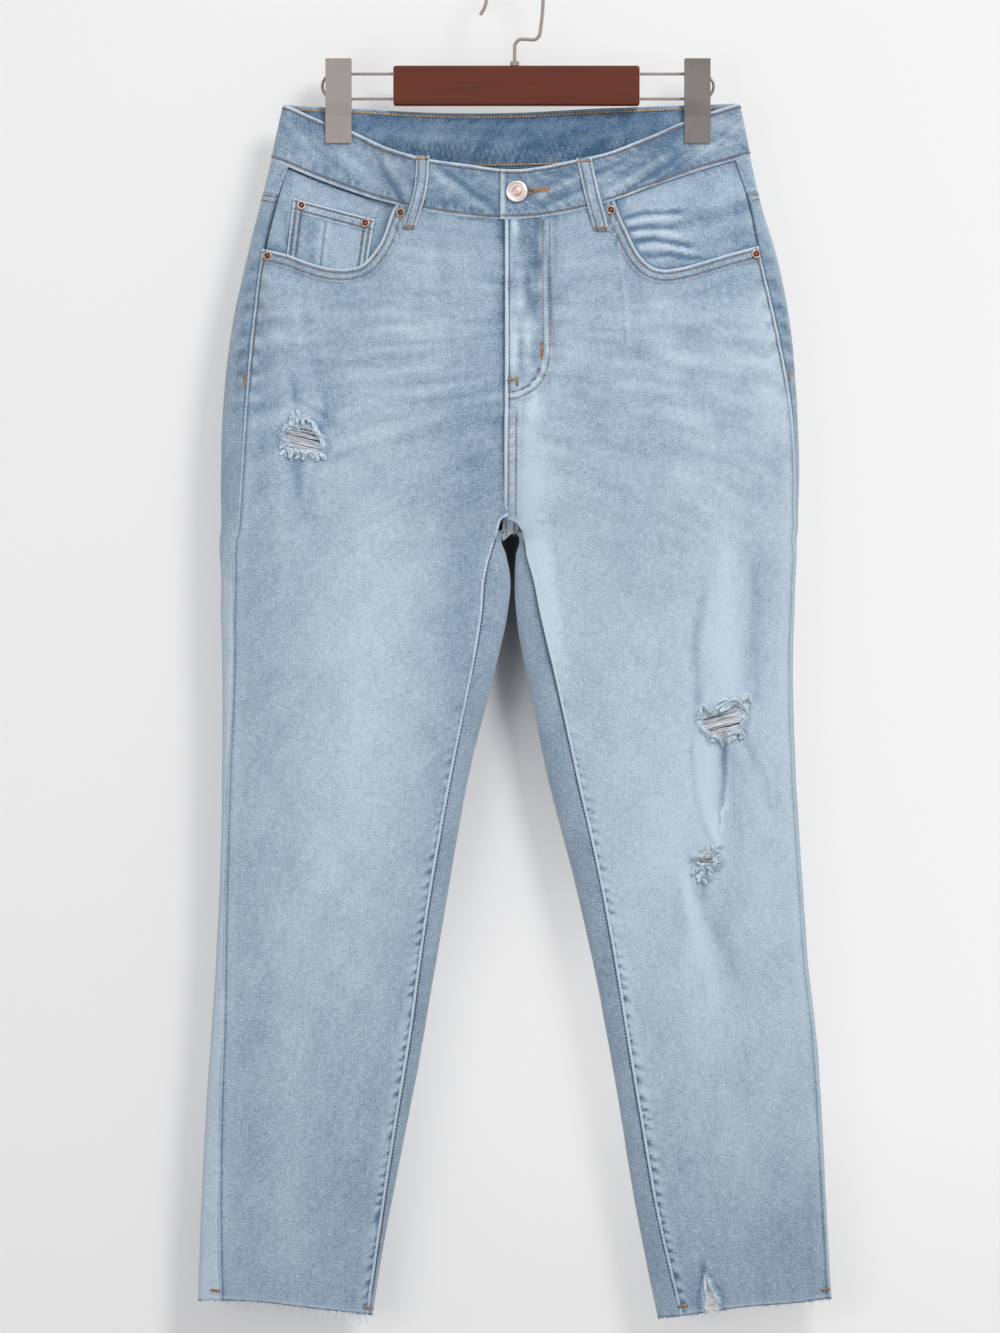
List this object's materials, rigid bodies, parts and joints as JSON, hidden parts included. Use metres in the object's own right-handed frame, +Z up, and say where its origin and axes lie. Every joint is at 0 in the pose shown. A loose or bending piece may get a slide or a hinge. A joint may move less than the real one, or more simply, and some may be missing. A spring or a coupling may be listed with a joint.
{
  "type": "ripped jeans on a clip hanger",
  "caption": "High-rise skinny five-pocket jeans in light-wash denim with ripped thigh, knee and shin and raw-cut ankle hems, hung by the waistband from a wooden bar hanger with two metal clips.",
  "frame": {"origin": "top of the inside of the hanger's hook, where a rail carries it", "axes": "+Z up along the hanging garment, -Y out of the front of the jeans, -X towards the wearer's right"},
  "size_m": [0.5081, 0.0662, 1.0868],
  "materials": {
    "denim": "light-wash cotton twill, worn and softly creased",
    "facing_denim": "the same twill, a little less worn",
    "zip_tape": "plain woven tape",
    "button_metal": "rose-coloured plated metal, satin",
    "rivet_metal": "aged copper-coloured metal",
    "wood": "reddish brown varnished wood",
    "nickel": "nickel-plated steel"
  },
  "bodies": {
    "root": {"front_panel_r": "denim", "front_panel_l": "denim", "back_panel_r": "denim", "back_panel_l": "denim", "yoke_r": "denim", "yoke_l": "denim", "waistband": "denim", "coin_pocket": "denim", "back_pocket_r": "denim", "back_pocket_l": "denim", "belt_loop_front_r": "denim", "belt_loop_front_l": "denim", "belt_loop_side_r": "denim", "belt_loop_side_l": "denim", "belt_loop_back": "denim", "pocket_facing_r": "facing_denim", "pocket_facing_l": "facing_denim", "zip": "zip_tape", "button": "button_metal", "rivet_pocket_r_side": "rivet_metal", "rivet_pocket_r_band": "rivet_metal", "rivet_pocket_l_side": "rivet_metal", "rivet_pocket_l_band": "rivet_metal", "rivet_coin_outer": "rivet_metal", "rivet_coin_inner": "rivet_metal", "hanger_bar": "wood", "hanger_hook": "nickel", "hook_ferrule": "nickel", "wire_r": "nickel", "wire_l": "nickel", "clip_front_r": "nickel", "clip_front_l": "nickel", "clip_back_r": "nickel", "clip_back_l": "nickel", "clip_pin_r": "nickel", "clip_pin_l": "nickel"}
  },
  "joints": []
}
